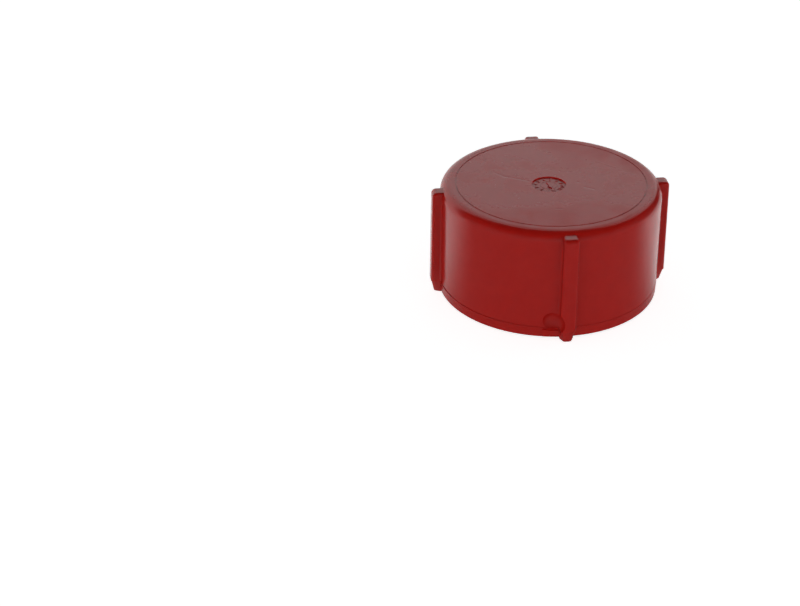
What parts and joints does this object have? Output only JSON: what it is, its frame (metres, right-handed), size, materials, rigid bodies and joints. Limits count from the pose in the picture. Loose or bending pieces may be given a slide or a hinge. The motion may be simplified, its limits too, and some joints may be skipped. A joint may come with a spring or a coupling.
{
  "type": "threaded protection cap",
  "caption": "Round screw-on protection cap with a closed top, raised grip ribs on its skirt and a moulded internal pipe thread.",
  "frame": {"origin": "on the cap's axis, in the plane of the four ribs' toes that the cap stands on", "axes": "+Z along the thread's axis from the open mouth to the closed end; -Y through the grip rib beside the gate recess"},
  "size_m": [0.0564, 0.0564, 0.0271],
  "materials": {
    "cap_plastic": "soft red polyethylene, moulded, satin gloss"
  },
  "bodies": {
    "root": {"cap": "cap_plastic"}
  },
  "joints": []
}
